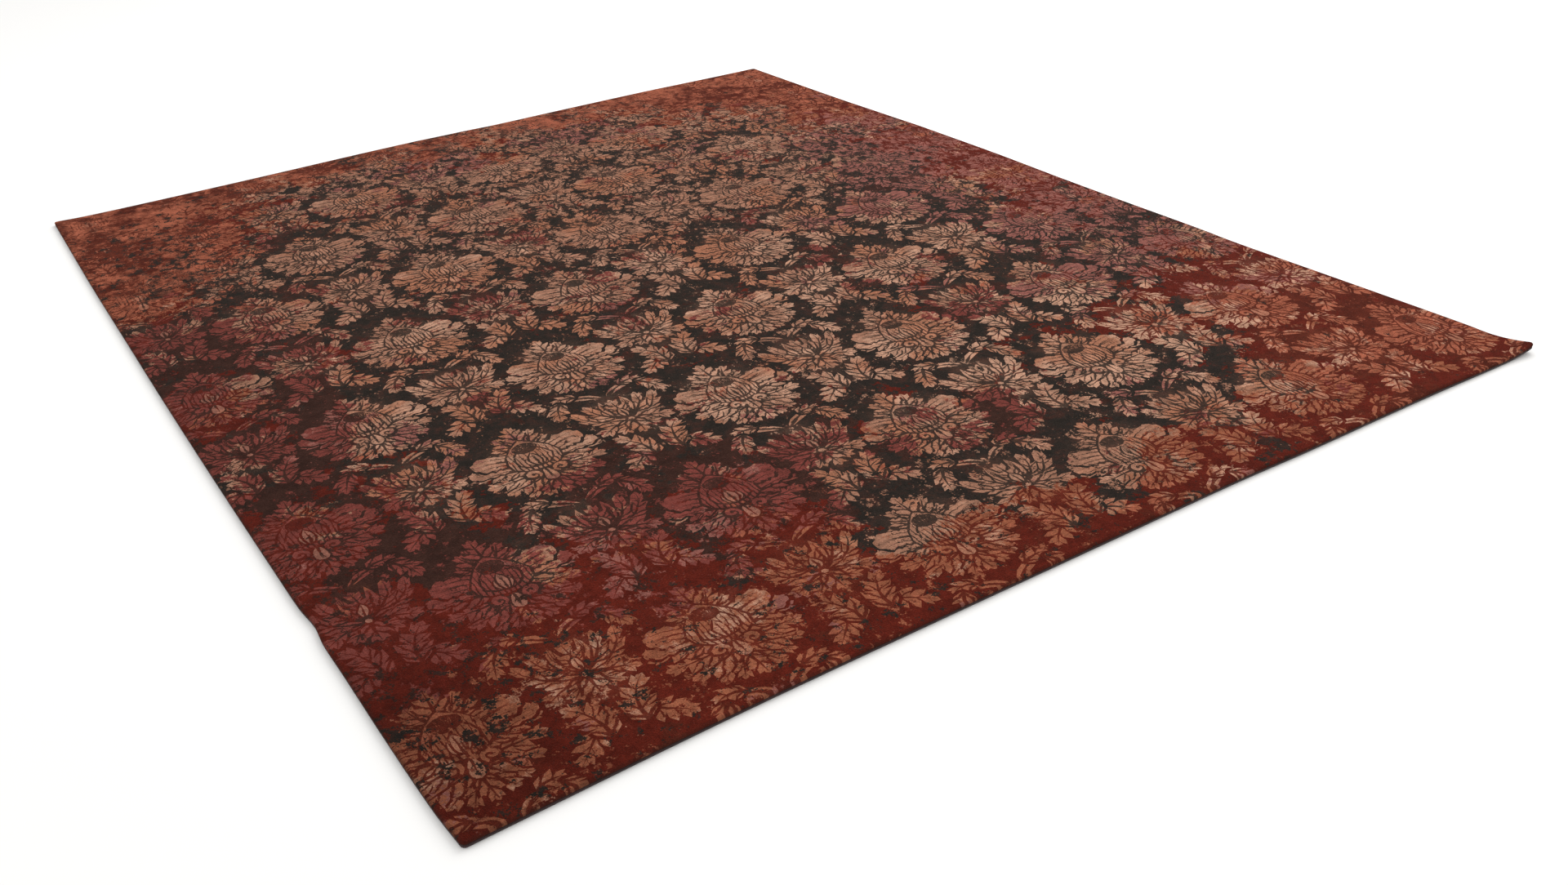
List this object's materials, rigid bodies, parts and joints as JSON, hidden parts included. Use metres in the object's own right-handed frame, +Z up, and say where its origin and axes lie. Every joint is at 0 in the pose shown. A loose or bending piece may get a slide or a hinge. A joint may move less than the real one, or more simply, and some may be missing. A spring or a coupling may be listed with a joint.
{
  "type": "nepalese rug",
  "caption": "Hand-knotted wool pile rug that lies flat on a floor, with a traditional damask pattern and a sewn cord round its edge.",
  "frame": {"origin": "on the floor under the middle of the rug's overall length and width", "axes": "+X across the rug, +Y along it towards the end where the pattern's flowers point, +Z up out of the pile"},
  "size_m": [2.4321, 3.0797, 0.0219],
  "materials": {
    "wool_pile": "cut wool pile, matt with a soft sheen, dark ground with copper and wine red damask",
    "edge_cord": "wool yarn wrapped round a cord, charcoal and plum"
  },
  "bodies": {
    "root": {"pile_body": "wool_pile", "side_cord_left": "edge_cord", "side_cord_right": "edge_cord", "end_cord_front": "edge_cord", "end_cord_back": "edge_cord"}
  },
  "joints": []
}
